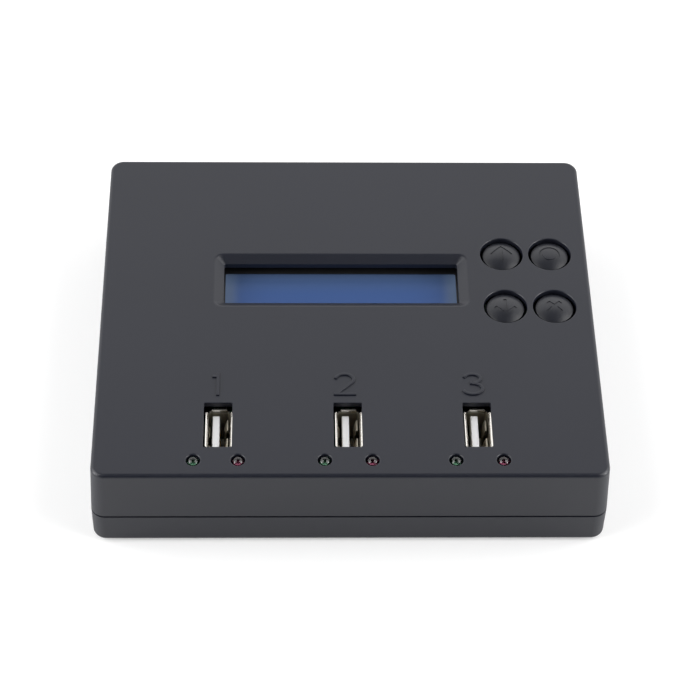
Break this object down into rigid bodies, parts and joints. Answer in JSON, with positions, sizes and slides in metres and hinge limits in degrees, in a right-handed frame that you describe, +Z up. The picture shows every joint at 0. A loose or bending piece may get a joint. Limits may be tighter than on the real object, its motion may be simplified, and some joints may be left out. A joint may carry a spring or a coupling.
{
  "type": "usb flash drive duplicator",
  "caption": "Flat desktop flash drive duplicator with a recessed display, round push buttons, and upright USB sockets with status lights.",
  "frame": {"origin": "centre of the footprint, on the plane that the rubber feet stand on", "axes": "+X to the right seen from the front, +Y to the back, +Z up"},
  "size_m": [0.1308, 0.1128, 0.0274],
  "materials": {
    "case_plastic": "fine moulded texture, dark grey",
    "cap_plastic": "satin, dark grey",
    "foot_rubber": "matt black",
    "screw_steel": "zinc plated",
    "board_laminate": "green solder mask",
    "socket_nickel": "nickel plated sheet",
    "insulator_white": "white moulded insulator",
    "light_green": "tinted clear epoxy, unlit",
    "light_red": "tinted clear epoxy, unlit",
    "frame_metal": "black sheet metal",
    "display_glass": "glossy blue polariser over glass",
    "backlight_acrylic": "clear light guide",
    "strip_rubber": "elastomer connector strip",
    "chip_epoxy": "black moulding compound",
    "black_plastic": "black moulded plastic",
    "can_metal": "drawn metal",
    "ferrite": "dark ferrite"
  },
  "bodies": {
    "case": {"top_cover": "case_plastic", "base_cover": "case_plastic", "foot_front_left": "foot_rubber", "foot_front_right": "foot_rubber", "foot_rear_left": "foot_rubber", "foot_rear_right": "foot_rubber", "case_screw_front_left": "screw_steel", "case_screw_front_right": "screw_steel", "case_screw_rear_left": "screw_steel", "case_screw_rear_right": "screw_steel", "main_board": "board_laminate", "board_screw_front_left": "screw_steel", "board_screw_front_right": "screw_steel", "board_screw_rear_left": "screw_steel", "board_screw_rear_right": "screw_steel", "usb_shell_1": "socket_nickel", "usb_shell_2": "socket_nickel", "usb_shell_3": "socket_nickel", "usb_insulator_1": "insulator_white", "usb_insulator_2": "insulator_white", "usb_insulator_3": "insulator_white", "light_green_1": "light_green", "light_green_2": "light_green", "light_green_3": "light_green", "light_red_1": "light_red", "light_red_2": "light_red", "light_red_3": "light_red", "display_frame": "frame_metal", "display_glass": "display_glass", "display_backlight": "backlight_acrylic", "display_strip_front": "strip_rubber", "display_strip_rear": "strip_rubber", "display_board": "board_laminate", "display_driver": "chip_epoxy", "display_header": "black_plastic", "switch_housing_up": "black_plastic", "switch_housing_confirm": "black_plastic", "switch_housing_down": "black_plastic", "switch_housing_cancel": "black_plastic", "switch_dome_up": "can_metal", "switch_dome_confirm": "can_metal", "switch_dome_down": "can_metal", "switch_dome_cancel": "can_metal", "inlet_body": "black_plastic", "inlet_pin": "socket_nickel", "controller_chip": "chip_epoxy", "memory_chip": "chip_epoxy", "crystal": "can_metal", "regulator": "chip_epoxy", "inductor": "ferrite", "capacitor": "can_metal"},
    "button_up": {"button_cap_up": "cap_plastic", "switch_plunger_up": "black_plastic"},
    "button_confirm": {"button_cap_confirm": "cap_plastic", "switch_plunger_confirm": "black_plastic"},
    "button_down": {"button_cap_down": "cap_plastic", "switch_plunger_down": "black_plastic"},
    "button_cancel": {"button_cap_cancel": "cap_plastic", "switch_plunger_cancel": "black_plastic"}
  },
  "joints": [
    {"name": "press_up", "type": "slide", "parent": "case", "child": "button_up", "axis": [0, 0, -1], "range_m": [0, 0.0003], "stiffness_N_per_m": 3000},
    {"name": "press_confirm", "type": "slide", "parent": "case", "child": "button_confirm", "axis": [0, 0, -1], "range_m": [0, 0.0003], "stiffness_N_per_m": 3000},
    {"name": "press_down", "type": "slide", "parent": "case", "child": "button_down", "axis": [0, 0, -1], "range_m": [0, 0.0003], "stiffness_N_per_m": 3000},
    {"name": "press_cancel", "type": "slide", "parent": "case", "child": "button_cancel", "axis": [0, 0, -1], "range_m": [0, 0.0003], "stiffness_N_per_m": 3000}
  ]
}
